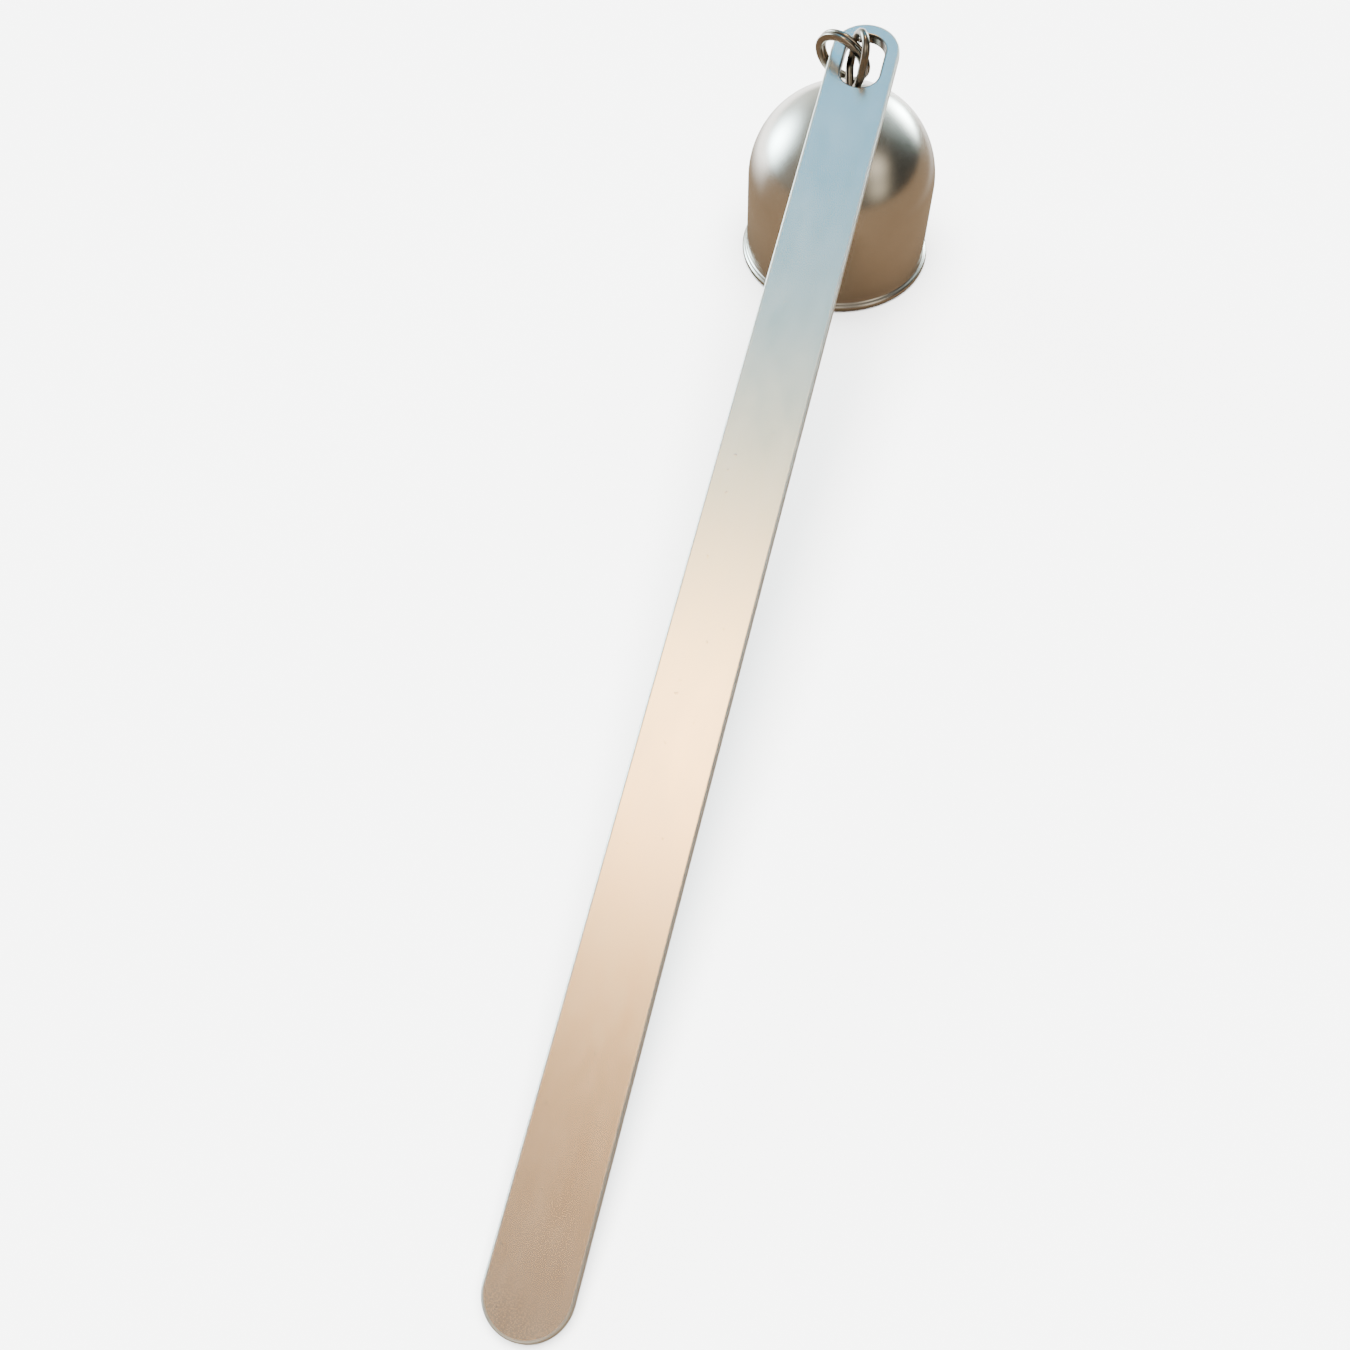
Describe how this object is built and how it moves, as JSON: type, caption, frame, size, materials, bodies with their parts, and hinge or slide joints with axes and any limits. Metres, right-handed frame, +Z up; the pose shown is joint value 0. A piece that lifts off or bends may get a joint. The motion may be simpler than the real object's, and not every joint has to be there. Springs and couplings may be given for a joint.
{
  "type": "candle snuffer",
  "caption": "Candle snuffer: a small metal bell hung from a long flat slotted handle by a split ring and a wire eye.",
  "frame": {"origin": "under the middle of the whole part, on the surface that it rests on", "axes": "+X runs from the bell towards the grip end of the handle, +Z is up along the bell's axis, and +Y completes a right-handed frame"},
  "size_m": [0.1952, 0.0308, 0.0402],
  "materials": {
    "handle_steel": "satin, fine lengthwise brushing",
    "ring_steel": "bright nickel plate",
    "eye_wire": "bright nickel plate",
    "bell_steel": "soft polish"
  },
  "bodies": {
    "handle": {"handle": "handle_steel"},
    "ring": {"split_ring": "ring_steel"},
    "bell": {"bell": "bell_steel", "bell_eye": "eye_wire"}
  },
  "joints": [
    {"name": "ring_swing", "type": "hinge", "parent": "handle", "child": "ring", "pos_m": [-0.08518, -0.00296, 0.0338], "axis": [0, 1, 0], "range_deg": [-10, 20]},
    {"name": "bell_swing", "type": "hinge", "parent": "ring", "child": "bell", "pos_m": [-0.08552, -0.00204, 0.03414], "axis": [0.8951, -0.3831, -0.228], "range_deg": [-12, 4]}
  ]
}
